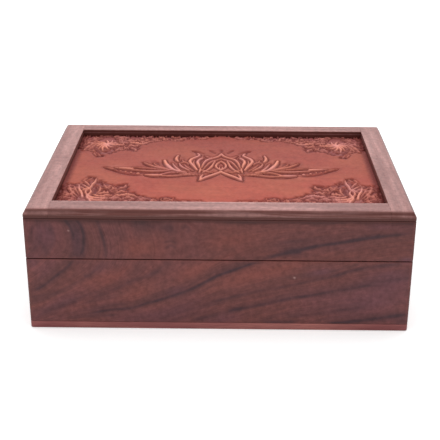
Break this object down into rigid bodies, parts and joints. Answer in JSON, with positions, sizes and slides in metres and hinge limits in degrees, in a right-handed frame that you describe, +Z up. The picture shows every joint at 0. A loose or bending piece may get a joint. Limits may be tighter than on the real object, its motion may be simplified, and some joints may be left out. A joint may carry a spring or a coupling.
{
  "type": "tarot card box",
  "caption": "Hinged rosewood box for a deck of cards, with a carved lotus panel set in a rounded frame on its lid and a cloth-lined well.",
  "frame": {"origin": "centre of the underside of the base board", "axes": "+X to the right along the box's length, +Y to the back, where the hinges are, +Z up"},
  "size_m": [0.178, 0.127, 0.0607],
  "materials": {
    "rosewood": "satin, figured",
    "rosewood_rail": "satin, rounded edge",
    "rosewood_base": "satin, redder than the walls",
    "carved_wood": "carved, dark in the hollows, bright on the ridges",
    "velvet": "short pile over card",
    "brass": "satin"
  },
  "bodies": {
    "tray": {"base_board": "rosewood_base", "tray_front_wall": "rosewood", "tray_back_wall": "rosewood", "tray_left_wall": "rosewood", "tray_right_wall": "rosewood", "tray_floor_pad": "velvet", "tray_front_lining": "velvet", "tray_back_lining": "velvet", "tray_left_lining": "velvet", "tray_right_lining": "velvet", "left_hinge_tray_leaf": "brass", "left_hinge_pin": "brass", "left_hinge_tray_screw_1": "brass", "left_hinge_tray_screw_2": "brass", "right_hinge_tray_leaf": "brass", "right_hinge_pin": "brass", "right_hinge_tray_screw_1": "brass", "right_hinge_tray_screw_2": "brass"},
    "lid": {"lid_front_wall": "rosewood", "lid_back_wall": "rosewood", "lid_left_wall": "rosewood", "lid_right_wall": "rosewood", "lid_front_rail": "rosewood_rail", "lid_back_rail": "rosewood_rail", "lid_left_rail": "rosewood_rail", "lid_right_rail": "rosewood_rail", "carved_panel": "carved_wood", "lid_ceiling_pad": "velvet", "lid_front_lining": "velvet", "lid_back_lining": "velvet", "lid_left_lining": "velvet", "lid_right_lining": "velvet", "left_hinge_lid_leaf": "brass", "left_hinge_lid_screw_1": "brass", "left_hinge_lid_screw_2": "brass", "right_hinge_lid_leaf": "brass", "right_hinge_lid_screw_1": "brass", "right_hinge_lid_screw_2": "brass"}
  },
  "joints": [
    {"name": "lid_hinge", "type": "hinge", "parent": "tray", "child": "lid", "pos_m": [0, 0.0615, 0.0362], "axis": [-1, 0, 0], "range_deg": [0, 100]}
  ]
}
